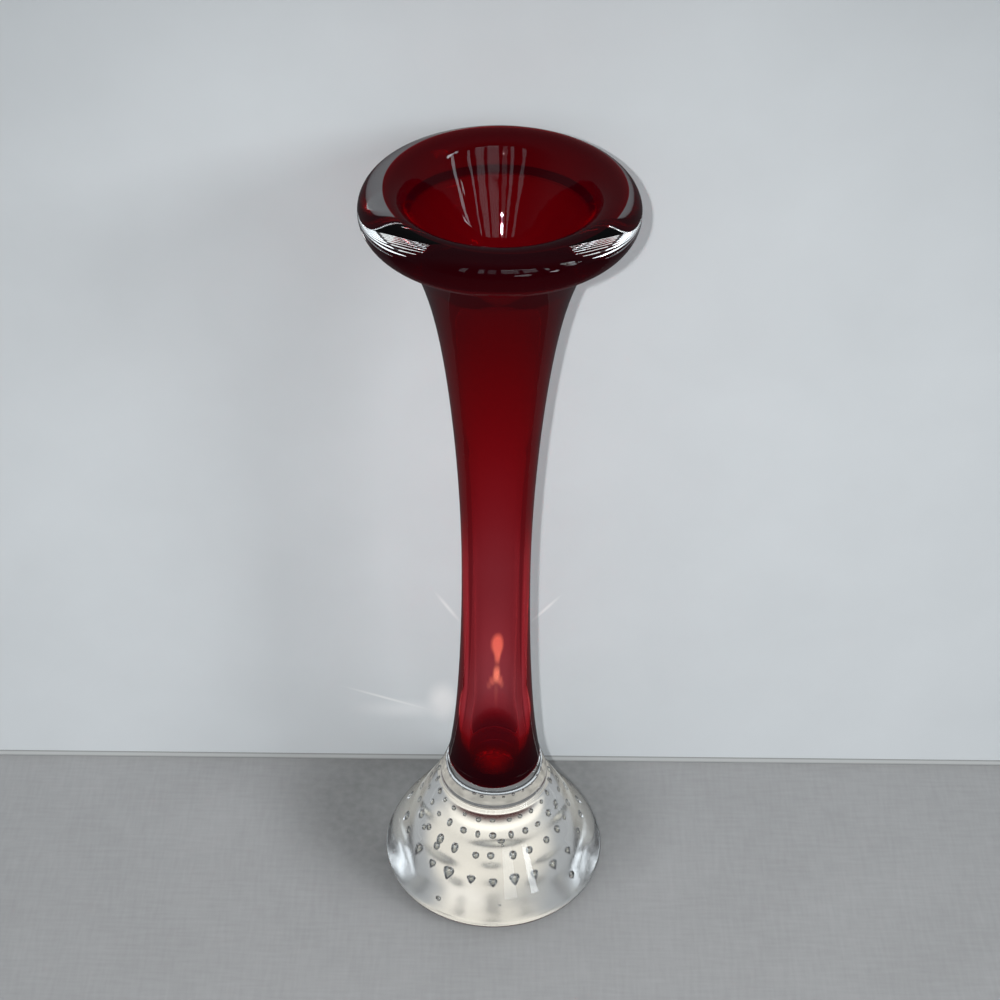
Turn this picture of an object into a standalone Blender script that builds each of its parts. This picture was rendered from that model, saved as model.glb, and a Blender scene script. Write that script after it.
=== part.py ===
# Cased art glass vase: a ruby lining in a clear stem, on a clear foot with rings of trapped bubbles.
# Units are metres, +Z is up, and the origin is the middle of the flat underside.

import math

import bmesh
import bpy
from mathutils import Matrix, Vector

# Overall sizes
HEIGHT = 0.210
LIP_DIAMETER = 0.0614
LIP_THICKNESS = 0.0104
WAIST_DIAMETER = 0.0169
WAIST_HEIGHT = 0.1017
NECK_DIAMETER = 0.0224
FOOT_HEIGHT = 0.045
FOOT_DIAMETER = 0.0586
FOOT_EDGE_RADIUS = 0.0045

# Flare under the rolled lip
FLARE_DIAMETER = 0.0416
FLARE_DROP = 0.0093
FLARE_FILLET = 0.0024
THROAT_BLEND = 0.0032

# Glass layers
CASING_WALL = 0.0015
RUBY_WALL = 0.0010
LAYER_GAP = 0.0003

# Bulb at the lower end of the bore
BULB_DIAMETER = 0.0138
BULB_HEIGHT = 0.040
BULB_DEPTH = 0.0070
BULB_TAPER = 0.025

# Foot core and the air dimples pressed into it
CORE_NECK_WALL = 0.0016
CORE_COVER = 0.0058
CORE_FLOOR = 0.005
COLUMNS = 24
RING_RADII = (0.00085, 0.00070, 0.00055, 0.00045, 0.00035)
DIMPLE_STRETCH_SHARES = (1.6, 1.45, 1.35, 1.15, 1.0)

# Places of the dimple rings, as shares of the core's height
RING_HEIGHT_SHARES = (0.245, 0.415, 0.547, 0.640, 0.790)

# How fast the stem opens above and below its waist
UPPER_SQUARE_SHARE = 0.69
LOWER_SQUARE_SHARE = 0.85
UPPER_POWER = 9
LOWER_POWER = 8

# Outline of the foot, from the neck down: radius share from neck to foot, height share from edge to neck
FOOT_OUTLINE_SHARES = (
    (0.0, 1.0), (0.032, 0.889), (0.12, 0.756), (0.266, 0.589), (0.50, 0.40),
    (0.735, 0.233), (0.895, 0.122), (0.975, 0.035), (1.0, 0.0),
)

# Outline of the core, from its rim down: radius share from rim to belly, height share of the core
CORE_OUTLINE_SHARES = (
    (0.0, 1.0), (-0.02, 0.89), (-0.02, 0.80), (0.08, 0.71), (0.255, 0.64), (0.45, 0.547),
    (0.665, 0.415), (0.94, 0.245), (1.0, 0.145), (0.95, 0.06), (0.78, 0.0),
)

# Angles around the section of the lip, in degrees from its outermost point
RUBY_END_ANGLE = 73.0
UNDERSIDE_ANGLE = -105.0

# Facets
STEPS = 36
STEM_POINTS = 8
ARC_POINTS = 6
MERGE_DISTANCE = 0.00001

# Sizes that follow from the ones above
LIP_RADIUS = LIP_THICKNESS / 2
LIP_RING = LIP_DIAMETER / 2 - LIP_RADIUS
LIP_LEVEL = HEIGHT - LIP_RADIUS
WAIST_RADIUS = WAIST_DIAMETER / 2
NECK_RADIUS = NECK_DIAMETER / 2
FOOT_RADIUS = FOOT_DIAMETER / 2
FLARE_RADIUS = FLARE_DIAMETER / 2
FLARE_LEVEL = LIP_LEVEL - FLARE_DROP
BULB_RADIUS = BULB_DIAMETER / 2
SEAT = RUBY_WALL + LAYER_GAP
STEM_WALL = CASING_WALL + SEAT
CORE_RIM = BULB_RADIUS + SEAT + CORE_NECK_WALL
CORE_BELLY = FOOT_RADIUS - CORE_COVER
CORE_TOP = BULB_HEIGHT - LAYER_GAP


def blend(start, end, share):
    """Value that lies the given share of the way from start to end."""
    return start + (end - start) * share


def stem_radius(height):
    """Outer radius of the stem, which opens away from its waist in both directions."""
    if height >= WAIST_HEIGHT:
        away = (height - WAIST_HEIGHT) / (FLARE_LEVEL - WAIST_HEIGHT)
        opening = blend(away ** UPPER_POWER, away ** 2, UPPER_SQUARE_SHARE)
        return blend(WAIST_RADIUS, FLARE_RADIUS, opening)
    away = (WAIST_HEIGHT - height) / (WAIST_HEIGHT - FOOT_HEIGHT)
    opening = blend(away ** LOWER_POWER, away ** 2, LOWER_SQUARE_SHARE)
    return blend(WAIST_RADIUS, NECK_RADIUS, opening)


def stem_slope(height):
    """Change of the stem's outer radius with height."""
    reach = LAYER_GAP
    return (stem_radius(height + reach) - stem_radius(height - reach)) / (2 * reach)


def bore_radius(height):
    """Radius of the bore: an even wall above the waist, an even bore below it, and then the bulb."""
    if height >= WAIST_HEIGHT:
        slope = stem_slope(height)
        return stem_radius(height) - STEM_WALL * math.sqrt(1 + slope ** 2)
    narrow = WAIST_RADIUS - STEM_WALL
    share = min(1.0, max(0.0, (BULB_HEIGHT + BULB_TAPER - height) / BULB_TAPER))
    eased = share * share * (3 - 2 * share)
    return blend(narrow, BULB_RADIUS, eased)


def arc(centre, radius, start, end, count):
    """Points of an arc in the section plane, from one angle in degrees to another."""
    points = []
    for index in range(count + 1):
        angle = math.radians(blend(start, end, index / count))
        points.append(centre + radius * Vector((math.cos(angle), math.sin(angle))))
    return points


def bezier(start, start_pull, end_pull, end, count):
    """Points of a cubic curve between two ends, each with its own pull."""
    points = []
    for index in range(count + 1):
        t = index / count
        s = 1 - t
        point = s ** 3 * start + t ** 3 * end
        point += 3 * s * s * t * (start + start_pull) + 3 * s * t * t * (end + end_pull)
        points.append(point)
    return points


def smooth_line(knots, count):
    """Smooth line through the knots, with count points on each stretch."""
    points = [knots[0]]
    for index in range(len(knots) - 1):
        before = knots[max(index - 1, 0)]
        start = knots[index]
        end = knots[index + 1]
        after = knots[min(index + 2, len(knots) - 1)]
        for step in range(1, count + 1):
            t = step / count
            leave = (end - before) / 2
            arrive = (after - start) / 2
            stretch = bezier(start, leave / 3, -arrive / 3, end, count)
            points.append(stretch[step])
    return points


def offset_line(points, distance):
    """Line beside the given one, to the right of its direction."""
    moved = []
    last = len(points) - 1
    for index, point in enumerate(points):
        along = points[min(index + 1, last)] - points[max(index - 1, 0)]
        along.normalize()
        moved.append(point + distance * Vector((along.y, -along.x)))
    return moved


def cut_below(points, level):
    """Part of a rising line that lies above a level, with a point on the level itself."""
    kept = []
    for before, after in zip(points, points[1:]):
        if before.y < level <= after.y:
            share = (level - before.y) / (after.y - before.y)
            kept.append(before.lerp(after, share))
        if after.y > level:
            kept.append(after)
    return kept


def cut_above(points, level):
    """Part of a rising line that lies below a level, with a point on the level itself."""
    kept = []
    for before, after in zip(points, points[1:]):
        if before.y < level:
            kept.append(before)
        if before.y < level <= after.y:
            share = (level - before.y) / (after.y - before.y)
            kept.append(before.lerp(after, share))
    return kept


LIP_CENTRE = Vector((LIP_RING, LIP_LEVEL))


def bore_line():
    """Inner surface, from the middle of the bore's floor up and over the lip to the ruby's end."""
    line = []
    for index in range(ARC_POINTS):
        angle = math.radians(90 * index / ARC_POINTS)
        depth = BULB_HEIGHT - BULB_DEPTH * math.cos(angle)
        line.append(Vector((BULB_RADIUS * math.sin(angle), depth)))
    for index in range(STEM_POINTS // 2):
        height = BULB_HEIGHT + BULB_TAPER * index / (STEM_POINTS // 2)
        line.append(Vector((bore_radius(height), height)))
    low = BULB_HEIGHT + BULB_TAPER
    for index in range(STEM_POINTS):
        height = blend(low, FLARE_LEVEL, math.sin(math.radians(90 * index / STEM_POINTS)))
        line.append(Vector((bore_radius(height), height)))
    flare = Vector((bore_radius(FLARE_LEVEL), FLARE_LEVEL))
    rising = Vector((stem_slope(FLARE_LEVEL), 1)).normalized() * THROAT_BLEND
    throat = LIP_CENTRE - Vector((LIP_RADIUS, 0))
    line += bezier(flare, rising, Vector((0, -THROAT_BLEND)), throat, 3)
    line += arc(LIP_CENTRE, LIP_RADIUS, 180, RUBY_END_ANGLE, ARC_POINTS)[1:]
    return line


def seat_line():
    """Surface that the ruby lining lies in, a layer gap outside it."""
    line = offset_line(bore_line(), SEAT)
    line[0].x = 0
    return line


def outer_line():
    """Outer surface of the stem, from the ruby's end round the lip and down to the neck."""
    gap_angle = math.degrees(LAYER_GAP / LIP_RADIUS)
    line = arc(LIP_CENTRE, LIP_RADIUS, RUBY_END_ANGLE - gap_angle, UNDERSIDE_ANGLE, 2 * ARC_POINTS)
    turn = math.radians(UNDERSIDE_ANGLE)
    leaving = Vector((math.sin(turn), -math.cos(turn))) * FLARE_FILLET
    flare = Vector((FLARE_RADIUS, FLARE_LEVEL))
    rising = Vector((stem_slope(FLARE_LEVEL), 1)).normalized() * FLARE_FILLET
    line += bezier(line[-1], leaving, rising, flare, 3)[1:]
    for index in range(1, STEM_POINTS + 1):
        height = blend(FLARE_LEVEL, WAIST_HEIGHT, (index / STEM_POINTS) ** 1.5)
        line.append(Vector((stem_radius(height), height)))
    for index in range(1, STEM_POINTS // 2 + 1):
        height = blend(WAIST_HEIGHT, FOOT_HEIGHT, index / (STEM_POINTS // 2))
        line.append(Vector((stem_radius(height), height)))
    return line


def foot_line():
    """Outer surface of the foot, from the neck down to the level of its rounded edge."""
    knots = []
    for radius_share, height_share in FOOT_OUTLINE_SHARES:
        radius = blend(NECK_RADIUS, FOOT_RADIUS, radius_share)
        knots.append(Vector((radius, blend(FOOT_EDGE_RADIUS, FOOT_HEIGHT, height_share))))
    return smooth_line(knots, 2)


def core_line():
    """Outer surface of the foot core, from its rim down to the edge of its floor."""
    knots = []
    for radius_share, height_share in CORE_OUTLINE_SHARES:
        radius = blend(CORE_RIM, CORE_BELLY, radius_share)
        knots.append(Vector((radius, blend(CORE_FLOOR, CORE_TOP, height_share))))
    return knots


def turned(name, points, closed, collection):
    """Solid turned round the Z axis from a profile that runs down its outer side."""
    mesh = bpy.data.meshes.new(name)
    edges = [(index, index + 1) for index in range(len(points) - 1)]
    if closed:
        edges.append((len(points) - 1, 0))
    mesh.from_pydata([(point.x, 0, point.y) for point in points], edges, [])
    body = bpy.data.objects.new(name, mesh)
    collection.objects.link(body)
    screw = body.modifiers.new("Turning", 'SCREW')
    screw.axis = 'Z'
    screw.angle = math.tau
    screw.steps = STEPS
    screw.render_steps = STEPS
    screw.use_merge_vertices = True
    screw.merge_threshold = MERGE_DISTANCE
    screw.use_smooth_shade = True
    return body


def glass(name, colour, alpha):
    """Glass of one colour, glossy and not metallic."""
    material = bpy.data.materials.new(name)
    material.use_nodes = True
    shader = material.node_tree.nodes["Principled BSDF"]
    shader.inputs["Base Color"].default_value = (*colour, 1)
    shader.inputs["Roughness"].default_value = 0.03
    shader.inputs["Metallic"].default_value = 0
    shader.inputs["Transmission Weight"].default_value = 0.9
    shader.inputs["Alpha"].default_value = alpha
    material.diffuse_color = (*colour, alpha)
    return material


def make_lining(collection):
    """Ruby lining: a long bubble with a closed round end, its mouth rolled out over the lip."""
    inner = bore_line()
    outer = offset_line(inner, RUBY_WALL)
    outer[0].x = 0
    return turned("ruby_lining", inner + outer[::-1], False, collection)


def make_casing(collection):
    """Clear casing: the outside of the lip and the stem, open below where the core takes over."""
    seat = cut_below(seat_line(), BULB_HEIGHT)
    gap_angle = math.degrees(LAYER_GAP / LIP_RADIUS)
    step = arc(LIP_CENTRE, LIP_RADIUS - SEAT, RUBY_END_ANGLE, RUBY_END_ANGLE - gap_angle, 1)
    foot = [point for point in foot_line() if point.y > BULB_HEIGHT]
    rising_foot = cut_below(foot_line()[::-1], BULB_HEIGHT)
    shell = outer_line() + foot[1:] + rising_foot[:1]
    return turned("stem_casing", shell + seat + step[1:], True, collection)


def make_core(collection):
    """Foot core: a clear cup round the ruby's closed end, with rings of dimples on its outside."""
    hollow = cut_above(seat_line(), CORE_TOP)
    return turned("foot_core", hollow + core_line() + [Vector((0, CORE_FLOOR))], False, collection)


def make_gather(collection):
    """Foot gather: the clear outer layer that covers the dimples and stands on the flat underside."""
    pocket = offset_line(core_line(), -LAYER_GAP)
    pocket[0] = Vector((CORE_RIM + LAYER_GAP, CORE_TOP))
    pocket[-1] = Vector((pocket[-1].x, CORE_FLOOR - LAYER_GAP))
    rim = cut_above(foot_line()[::-1], CORE_TOP)[::-1]
    edge_centre = Vector((FOOT_RADIUS - FOOT_EDGE_RADIUS, FOOT_EDGE_RADIUS))
    edge = arc(edge_centre, FOOT_EDGE_RADIUS, 0, -90, ARC_POINTS // 2)
    base = [Vector((0, CORE_FLOOR - LAYER_GAP))] + pocket[::-1]
    profile = base + rim[:-1] + edge + [Vector((0, 0))]
    return turned("foot_gather", profile, False, collection)


def core_place(height_share):
    """Point of the core's surface at a share of its height, and the surface's lean there."""
    level = blend(CORE_FLOOR, CORE_TOP, height_share)
    line = core_line()
    for above, below in zip(line, line[1:]):
        if above.y >= level > below.y:
            share = (above.y - level) / (above.y - below.y)
            lean = math.atan2(below.x - above.x, above.y - below.y)
            return above.lerp(below, share), lean
    return line[0], 0.0


def make_dimple_tool(collection):
    """Cutter with one small drop for each dimple, lengthened along the core's slope."""
    form = bmesh.new()
    for ring, height_share in enumerate(RING_HEIGHT_SHARES):
        place, lean = core_place(height_share)
        size = RING_RADII[ring]
        stretch = Matrix.Diagonal((size, size, size * DIMPLE_STRETCH_SHARES[ring], 1))
        tilt = Matrix.Rotation(-lean, 4, 'Y')
        shift = Matrix.Translation((place.x, 0, place.y))
        for column in range(COLUMNS):
            turn = Matrix.Rotation(math.tau * column / COLUMNS, 4, 'Z')
            matrix = turn @ shift @ tilt @ stretch
            bmesh.ops.create_uvsphere(form, u_segments=6, v_segments=4, radius=1, matrix=matrix)
    mesh = bpy.data.meshes.new("dimple_tool")
    form.to_mesh(mesh)
    form.free()
    tool = bpy.data.objects.new("dimple_tool", mesh)
    tool.hide_render = True
    tool.display_type = 'WIRE'
    collection.objects.link(tool)
    return tool


def press(body, tool):
    """Press the dimples of the tool into the body."""
    cut = body.modifiers.new("Dimples", 'BOOLEAN')
    cut.operation = 'DIFFERENCE'
    cut.solver = 'EXACT'
    cut.object = tool


def main():
    for leftover in list(bpy.data.objects):
        bpy.data.objects.remove(leftover, do_unlink=True)
    vase = bpy.data.collections.new("art_glass_vase")
    cutters = bpy.data.collections.new("cutters")
    for collection in (vase, cutters):
        bpy.context.scene.collection.children.link(collection)

    lining = make_lining(vase)
    casing = make_casing(vase)
    core = make_core(vase)
    gather = make_gather(vase)
    press(core, make_dimple_tool(cutters))

    lining.data.materials.append(glass("Ruby glass", (0.32, 0.004, 0.012), 0.8))
    casing.data.materials.append(glass("Clear casing glass", (0.90, 0.93, 0.93), 0.25))
    core.data.materials.append(glass("Clear core glass", (0.93, 0.92, 0.88), 0.25))
    gather.data.materials.append(glass("Clear foot glass", (0.92, 0.93, 0.92), 0.25))


main()
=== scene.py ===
import math

import bpy
import numpy as np
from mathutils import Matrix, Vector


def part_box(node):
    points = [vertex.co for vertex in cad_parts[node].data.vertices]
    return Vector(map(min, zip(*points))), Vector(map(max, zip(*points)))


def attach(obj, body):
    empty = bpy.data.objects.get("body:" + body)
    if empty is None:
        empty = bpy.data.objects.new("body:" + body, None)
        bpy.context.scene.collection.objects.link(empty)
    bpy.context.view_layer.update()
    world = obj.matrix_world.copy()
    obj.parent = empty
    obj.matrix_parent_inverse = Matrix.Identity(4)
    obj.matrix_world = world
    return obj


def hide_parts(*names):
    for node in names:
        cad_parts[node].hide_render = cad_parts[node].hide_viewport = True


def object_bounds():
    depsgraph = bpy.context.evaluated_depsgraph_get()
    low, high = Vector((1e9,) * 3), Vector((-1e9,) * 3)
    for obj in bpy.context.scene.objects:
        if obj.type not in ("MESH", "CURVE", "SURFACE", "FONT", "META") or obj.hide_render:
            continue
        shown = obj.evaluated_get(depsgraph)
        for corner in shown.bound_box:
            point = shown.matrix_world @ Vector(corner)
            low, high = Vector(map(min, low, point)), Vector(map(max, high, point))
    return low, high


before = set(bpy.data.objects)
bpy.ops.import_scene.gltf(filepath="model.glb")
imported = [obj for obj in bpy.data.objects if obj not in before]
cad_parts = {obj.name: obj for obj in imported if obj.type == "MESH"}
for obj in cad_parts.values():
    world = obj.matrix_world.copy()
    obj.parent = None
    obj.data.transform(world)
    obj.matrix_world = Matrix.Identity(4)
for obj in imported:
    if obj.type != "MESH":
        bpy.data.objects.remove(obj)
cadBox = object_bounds()
mm = 0.001
scene = bpy.context.scene


# Line of the glass that meets the air: bore, lip, stem and foot in one run

vase = {
    "lipThickness": 10.4 * mm,
    "lipGlassFrom": 0.3,  # above the lip's centre, as a share of its radius
    "waistRadius": 8.45 * mm,
    "waistHeight": 101.7 * mm,
    "neckRadius": 11.2 * mm,
    "footHeight": 45 * mm,
    "footEdge": 4.5 * mm,
    "flareRadius": 20.8 * mm,
    "flareDrop": 9.3 * mm,
    "flareFillet": 2.4 * mm,
    "upperCurve": (9, 2, 0.69),  # a steep power, a gentle one and the gentle one's share
    "lowerCurve": (8, 2, 0.85),
    "throatKnots": ((150, 8.0), (165, 8.5), (180, 8.8), (184.5, 9.1), (188, 10.0), (190, 11.0), (193, 12.85),
                    (196, 14.7), (200, 16.95), (204, 19.1)),
    "throatStart": 142 * mm,
    "throatLead": 20,  # samples of the bore that give the throat its first direction
    "throatAngle": 151,
    "stemWall": 2.8 * mm,
    "bulbRadius": 6.9 * mm,
    "bulbHeight": 40 * mm,
    "bulbDepth": 7 * mm,
    "bulbTaper": 25 * mm,
    "undersideAngle": -105,
    "flatBelow": 0.03 * mm,
    "creaseHeight": 32 * mm,
    "creaseDepth": 0.45 * mm,
    "creaseWidth": 0.8 * mm,
    "spacing": 0.1 * mm,
    "softening": 0.5 * mm,
    "footSoftening": 1.6 * mm,
    "samples": 400,
    "lipSamples": 300,
    "steps": 288,
    "turnPerRing": 2.4,
    "longestRing": 3 * mm,
}
footShares = (
    (0, 1), (0.032, 0.889), (0.12, 0.756), (0.266, 0.589), (0.5, 0.4),
    (0.735, 0.233), (0.895, 0.122), (0.975, 0.035), (1, 0),
)

lipRadius = vase["lipThickness"] / 2
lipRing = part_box("stem_casing")[1].x - lipRadius
lipLevel = cadBox[1].z - lipRadius
flareLevel = lipLevel - vase["flareDrop"]
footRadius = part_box("foot_gather")[1].x


def blend(start, end, share):
    return start + (end - start) * share


def stemRadius(height):
    v = vase
    if height >= v["waistHeight"]:
        away = (height - v["waistHeight"]) / (flareLevel - v["waistHeight"])
        end, curve = v["flareRadius"], v["upperCurve"]
    else:
        away = (v["waistHeight"] - height) / (v["waistHeight"] - v["footHeight"])
        end, curve = v["neckRadius"], v["lowerCurve"]
    steep, gentle, share = curve
    return blend(v["waistRadius"], end, blend(away ** steep, away ** gentle, share))


def stemSlope(height):
    reach = vase["spacing"]
    return (stemRadius(height + reach) - stemRadius(height - reach)) / (2 * reach)


def boreRadius(height):
    v = vase
    if height >= v["waistHeight"]:
        return stemRadius(height) - v["stemWall"] * math.sqrt(1 + stemSlope(height) ** 2)
    low = v["bulbHeight"] + v["bulbTaper"]
    share = min(1, max(0, (low - height) / v["bulbTaper"]))
    return blend(v["waistRadius"] - v["stemWall"], v["bulbRadius"], share * share * (3 - 2 * share))


def arc(centre, radii, start, end, count=80):
    angles = np.radians(np.linspace(start, end, count))
    return np.array(centre) + np.stack([np.cos(angles), np.sin(angles)], 1) * radii


curveSamples = 40


def pulled(start, startPull, endPull, end):  # cubic curve whose ends each have a pull
    t = np.linspace(0, 1, curveSamples)[:, None]
    s = 1 - t
    start, end = np.array(start), np.array(end)
    inner = 3 * s * s * t * (start + startPull) + 3 * s * t * t * (end + endPull)
    return s ** 3 * start + inner + t ** 3 * end


def throughKnots(knots):  # smooth line through the knots
    knots = np.array(knots)
    pulls = np.gradient(knots, axis=0) / 3
    runs = [pulled(knots[i], pulls[i], -pulls[i + 1], knots[i + 1]) for i in range(len(knots) - 1)]
    return np.concatenate(runs)


samePlace = 1e-9  # points nearer to each other than this are one point


def evenLine(points, spacing):
    points = points[np.append(True, np.linalg.norm(np.diff(points, axis=0), axis=1) > samePlace)]
    run = np.append(0, np.cumsum(np.linalg.norm(np.diff(points, axis=0), axis=1)))
    at = np.linspace(0, run[-1], int(run[-1] / spacing) + 1)
    return np.stack([np.interp(at, run, points[:, k]) for k in (0, 1)], 1)


def softened(points, reach, mirror):  # rounds off the bends; mirror says what lies past both ends
    count = int(3 * reach / vase["spacing"])
    weights = np.exp(-0.5 * (np.arange(-count, count + 1) * vase["spacing"] / reach) ** 2)
    before, after = points[1:count + 1][::-1], points[-count - 1:-1][::-1]
    if mirror == "axis":
        before, after = before * (-1, 1), after * (-1, 1)
    else:
        before, after = 2 * points[0] - before, 2 * points[-1] - after
    padded = np.concatenate([before, points, after])
    return np.stack([np.convolve(padded[:, k], weights / weights.sum(), "valid") for k in (0, 1)], 1)


def leftOf(points):  # unit normals on the left of the line, which is its air side
    along = np.gradient(points, axis=0)
    along /= np.linalg.norm(along, axis=1)[:, None]
    return np.stack([-along[:, 1], along[:, 0]], 1)


def airSide():
    v = vase
    bulb = arc((0, v["bulbHeight"]), (v["bulbRadius"], v["bulbDepth"]), -90, 0)
    heights = np.linspace(v["bulbHeight"], v["throatStart"], v["samples"])
    bore = np.array([(boreRadius(z), z) for z in heights])
    knots = [(r * mm, z * mm) for z, r in v["throatKnots"]]
    lip = arc((lipRing, lipLevel), lipRadius, v["throatAngle"], v["undersideAngle"], v["lipSamples"])
    throat = throughKnots([bore[-v["throatLead"]], bore[-1]] + knots + [lip[0]])[curveSamples:]
    lean = np.array([stemSlope(flareLevel), 1])
    lean /= np.linalg.norm(lean)
    turn = math.radians(v["undersideAngle"])
    leaving = np.array([math.sin(turn), -math.cos(turn)]) * v["flareFillet"]
    fillet = pulled(lip[-1], leaving, lean * v["flareFillet"], (v["flareRadius"], flareLevel))
    heights = np.linspace(flareLevel, v["footHeight"], v["samples"])
    stem = np.array([(stemRadius(z), z) for z in heights])
    knots = [(blend(v["neckRadius"], footRadius, r), blend(v["footEdge"], v["footHeight"], z))
             for r, z in footShares]
    foot = softened(evenLine(throughKnots(knots), v["spacing"]), v["footSoftening"], "end")
    edge = arc((footRadius - v["footEdge"], v["footEdge"]), v["footEdge"], 0, -90)
    whole = np.concatenate([bulb, bore, throat, lip, fillet, stem, foot, edge, [(0, 0)]])
    whole = softened(evenLine(whole, v["spacing"]), v["softening"], "axis")
    away = (whole[:, 1] - v["creaseHeight"]) / v["creaseWidth"]
    sink = np.where(whole[:, 0] > v["neckRadius"], v["creaseDepth"], 0) * np.exp(-away * away)
    return whole - leftOf(whole) * sink[:, None]


def fewer(points, normals):  # keeps a ring wherever the line has turned or run far enough
    kept = [0]
    for i in range(1, len(points) - 1):
        bend = math.degrees(math.acos(min(1, float(normals[i] @ normals[kept[-1]]))))
        run = np.linalg.norm(points[i] - points[kept[-1]])
        if bend >= vase["turnPerRing"] or run >= vase["longestRing"]:
            kept.append(i)
    return np.array(kept + [len(points) - 1])


# Turning: a piece is a list of runs (points, normals, material), each starting where the last ended

onAxis = 1e-7  # a smaller radius is on the axis


def placed(name, mesh):
    piece = bpy.data.objects.new(name, mesh)
    scene.collection.objects.link(piece)
    return piece


def turned(name, materials, runs, extra=None):
    steps = vase["steps"]
    angles = np.arange(steps) * math.tau / steps
    ring = np.stack([np.cos(angles), np.sin(angles)], 1)
    verts, faces, slots, normals = [], [], [], []

    def addRing(point):
        first = len(verts)
        if point[0] < onAxis:
            verts.append((0, 0, point[1]))
            return [first] * steps
        verts.extend((point[0] * c, point[0] * s, point[1]) for c, s in ring)
        return list(range(first, first + steps))

    startPoint = runs[0][0][0]
    start = last = addRing(startPoint)
    for points, facing, material in runs:
        slot = materials.index(material)
        for i in range(1, len(points)):
            if points[i][0] < onAxis and points[i - 1][0] < onAxis:  # a step along the axis has no faces
                last = addRing(points[i])
                continue
            closing = points is runs[-1][0] and i == len(points) - 1 and np.allclose(points[i], startPoint)
            now = start if closing else addRing(points[i])
            for j in range(steps):
                k = (j + 1) % steps
                corners = [(last[j], i - 1, j), (now[j], i, j), (now[k], i, k), (last[k], i - 1, k)]
                if last[j] == last[k]:
                    corners.pop(3)
                if now[j] == now[k]:
                    corners.pop(2)
                faces.append([vertex for vertex, row, spoke in corners])
                slots.append(slot)
                for vertex, row, spoke in corners:
                    out, up = facing[row]
                    normals.append((out * ring[spoke][0], out * ring[spoke][1], up))
            last = now
    if extra is not None:  # cavities, and the material of their walls
        cavities, material = extra
        slot = materials.index(material)
        first = len(verts)
        verts.extend(tuple(v.co) for v in cavities.vertices)
        for face in cavities.polygons:
            faces.append([first + index for index in face.vertices])
            slots.append(slot)
            normals.extend(tuple(cavities.vertices[index].normal) for index in face.vertices)
    mesh = bpy.data.meshes.new(name)
    mesh.from_pydata(verts, [], faces)
    for material in materials:
        mesh.materials.append(material)
    mesh.polygons.foreach_set("material_index", slots)
    mesh.shade_smooth()
    mesh.normals_split_custom_set(normals)
    return placed(name, mesh)


def straight(start, end):  # a run of one step, with the normals of its left side
    points = np.array([start, end])
    return points, leftOf(points)


# Node trees: values given to these functions are numbers, places, colours or other nodes' outputs

def feed(tree, socket, value):
    if isinstance(value, bpy.types.NodeSocket):
        tree.links.new(value, socket)
    elif socket.type == "RGBA":
        socket.default_value = (*value, 1)
    else:
        socket.default_value = value


def feedNamed(tree, node, values):
    for name, value in values.items():
        feed(tree, node.inputs[name], value)


def added(tree, kind, *values, **settings):  # a new node, its settings made and its inputs fed in their order
    node = tree.nodes.new(kind)
    for name, value in settings.items():
        setattr(node, name, value)
    for socket, value in zip(node.inputs, values):
        feed(tree, socket, value)
    return node


def maths(tree, operation, *values):
    return added(tree, "ShaderNodeMath", *values, operation=operation).outputs[0]


def vectorMaths(tree, operation, *values):
    node = added(tree, "ShaderNodeVectorMath", *values, operation=operation)
    return node.outputs["Value" if operation in ("LENGTH", "DOT_PRODUCT") else "Vector"]


def vector(tree, x, y, z):
    return added(tree, "ShaderNodeCombineXYZ", x, y, z).outputs[0]


def ramp(tree, value, start, end, low=0, high=1):  # eases from low to high as the value goes from start to end
    node = added(tree, "ShaderNodeMapRange", value, start, end, low, high, interpolation_type="SMOOTHSTEP")
    return node.outputs[0]


def noise(tree, place, scale, detail):
    node = tree.nodes.new("ShaderNodeTexNoise")
    feedNamed(tree, node, {"Vector": place, "Scale": scale, "Detail": detail})
    return node.outputs["Fac"]


def mixed(tree, factor, first, second):
    node = added(tree, "ShaderNodeMix", data_type="RGBA")
    feedNamed(tree, node, {"Factor": factor, "A": first, "B": second})
    return node.outputs["Result"]


def mixedShaders(tree, factor, first, second):
    return added(tree, "ShaderNodeMixShader", factor, first, second).outputs[0]


# Glass

waveDetail = 1.5


def waveGroup():  # low waves of hand-worked glass, and the faint change of tint that goes with them
    tree = bpy.data.node_groups.new("Glass waves", "ShaderNodeTree")
    face = (
        ("INPUT", "Float", ("Scale", "Upright", "Depth")), ("INPUT", "Color", ("Pale", "Deep")),
        ("OUTPUT", "Color", ("Colour",)), ("OUTPUT", "Float", ("Height",)),
    )
    for way, kind, names in face:
        for name in names:
            tree.interface.new_socket(name, in_out=way, socket_type="NodeSocket" + kind)
    given = tree.nodes.new("NodeGroupInput").outputs
    place = tree.nodes.new("ShaderNodeTexCoord").outputs["Object"]
    squeezed = vectorMaths(tree, "MULTIPLY", place, vector(tree, 1, 1, given["Upright"]))
    wave = noise(tree, squeezed, given["Scale"], waveDetail)
    feedNamed(tree, tree.nodes.new("NodeGroupOutput"), {
        "Colour": mixed(tree, wave, given["Pale"], given["Deep"]),
        "Height": maths(tree, "MULTIPLY", wave, given["Depth"]),
    })
    return tree


waves = waveGroup()


def newMaterial(name):
    material = bpy.data.materials.new(name)
    material.use_nodes = True
    tree = material.node_tree
    return material, tree, tree.nodes["Principled BSDF"], tree.nodes["Material Output"]


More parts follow.
